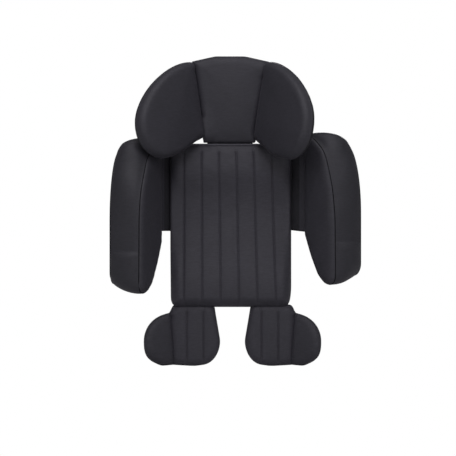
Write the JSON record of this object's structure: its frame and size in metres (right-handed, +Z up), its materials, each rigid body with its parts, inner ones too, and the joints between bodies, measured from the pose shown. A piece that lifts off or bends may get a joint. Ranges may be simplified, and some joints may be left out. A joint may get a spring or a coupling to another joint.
{
  "type": "booster seat liner",
  "caption": "Padded liner for a child's booster seat: quilted back and seat, height-adjustable head pillow with folding wings, hinged side bolsters and leg lobes.",
  "frame": {"origin": "middle of the back pad's flat rear face, which rests on the seat's backrest", "axes": "+Z up along the back, +Y rearwards out of the rear face, +X to the viewer's right when facing the front of the liner"},
  "size_m": [0.5004, 0.1585, 0.617],
  "materials": {
    "quilted_mesh": "charcoal spacer mesh, sewn into vertical channels",
    "knit_fabric": "charcoal fine knit with a soft sheen",
    "rear_cloth": "plain black backing cloth",
    "binding": "folded woven binding",
    "foam": "open-cell foam, hidden inside the covers",
    "hook_and_loop": "woven nylon hook and loop tape"
  },
  "bodies": {
    "back": {"back_foam": "foam", "back_front_cover": "quilted_mesh", "back_rear_cover": "rear_cloth", "back_top_piping": "binding", "rear_pocket_panel": "rear_cloth", "back_hook_patch": "hook_and_loop"},
    "pillow": {"pillow_foam": "foam", "pillow_front_cover": "knit_fabric", "pillow_rear_cover": "rear_cloth", "pillow_top_gusset": "knit_fabric", "pillow_tongue": "rear_cloth", "tongue_loop_patch": "hook_and_loop"},
    "seat": {"seat_foam": "foam", "seat_front_cover": "quilted_mesh", "seat_rear_cover": "rear_cloth"},
    "pillow_wing_left": {"wing_foam_left": "foam", "wing_front_cover_left": "knit_fabric", "wing_rear_cover_left": "rear_cloth"},
    "bolster_left": {"bolster_foam_left": "foam", "bolster_inner_panel_left": "knit_fabric", "bolster_gusset_left": "knit_fabric", "bolster_outer_panel_left": "rear_cloth", "bolster_flap_left": "binding"},
    "leg_left": {"leg_foam_left": "foam", "leg_front_cover_left": "quilted_mesh", "leg_rear_cover_left": "rear_cloth"},
    "leg_wing_left": {"leg_wing_foam_left": "foam", "leg_wing_front_cover_left": "knit_fabric", "leg_wing_rear_cover_left": "rear_cloth"},
    "pillow_wing_right": {"wing_foam_right": "foam", "wing_front_cover_right": "knit_fabric", "wing_rear_cover_right": "rear_cloth"},
    "bolster_right": {"bolster_foam_right": "foam", "bolster_inner_panel_right": "knit_fabric", "bolster_gusset_right": "knit_fabric", "bolster_outer_panel_right": "rear_cloth", "bolster_flap_right": "binding"},
    "leg_right": {"leg_foam_right": "foam", "leg_front_cover_right": "quilted_mesh", "leg_rear_cover_right": "rear_cloth"},
    "leg_wing_right": {"leg_wing_foam_right": "foam", "leg_wing_front_cover_right": "knit_fabric", "leg_wing_rear_cover_right": "rear_cloth"}
  },
  "joints": [
    {"name": "pillow_height", "type": "slide", "parent": "back", "child": "pillow", "axis": [0, 0, 1], "range_m": [0, 0.06]},
    {"name": "seat_fold", "type": "hinge", "parent": "back", "child": "seat", "pos_m": [0, -0.0214, -0.1], "axis": [-1, 0, 0], "range_deg": [0, 90]},
    {"name": "pillow_wing_left_fold", "type": "hinge", "parent": "pillow", "child": "pillow_wing_left", "pos_m": [-0.054, -0.03, 0.116], "axis": [-0.1496, 0, 0.9887], "range_deg": [0, 20], "stiffness_Nm_per_rad": 0.3},
    {"name": "bolster_left_fold", "type": "hinge", "parent": "back", "child": "bolster_left", "pos_m": [-0.12, -0.012, 0], "axis": [0, 0, 1], "range_deg": [-41, 0]},
    {"name": "leg_left_fold", "type": "hinge", "parent": "seat", "child": "leg_left", "pos_m": [-0.072, -0.0214, -0.22], "axis": [-1, 0, 0], "range_deg": [-60, 75]},
    {"name": "leg_wing_left_fold", "type": "hinge", "parent": "leg_left", "child": "leg_wing_left", "pos_m": [-0.115, -0.0214, -0.334], "axis": [-0.0712, 0, 0.9975], "range_deg": [-28, 42], "stiffness_Nm_per_rad": 0.05},
    {"name": "pillow_wing_right_fold", "type": "hinge", "parent": "pillow", "child": "pillow_wing_right", "pos_m": [0.054, -0.03, 0.116], "axis": [-0.1496, 0, -0.9887], "range_deg": [-12, 8], "stiffness_Nm_per_rad": 0.3},
    {"name": "bolster_right_fold", "type": "hinge", "parent": "back", "child": "bolster_right", "pos_m": [0.12, -0.012, 0], "axis": [0, 0, -1], "range_deg": [-21, 20]},
    {"name": "leg_right_fold", "type": "hinge", "parent": "seat", "child": "leg_right", "pos_m": [0.082, -0.0214, -0.22], "axis": [-1, 0, 0], "range_deg": [-60, 75]},
    {"name": "leg_wing_right_fold", "type": "hinge", "parent": "leg_right", "child": "leg_wing_right", "pos_m": [0.125, -0.0214, -0.334], "axis": [-0.0712, 0, -0.9975], "range_deg": [-28, 42], "stiffness_Nm_per_rad": 0.05}
  ]
}
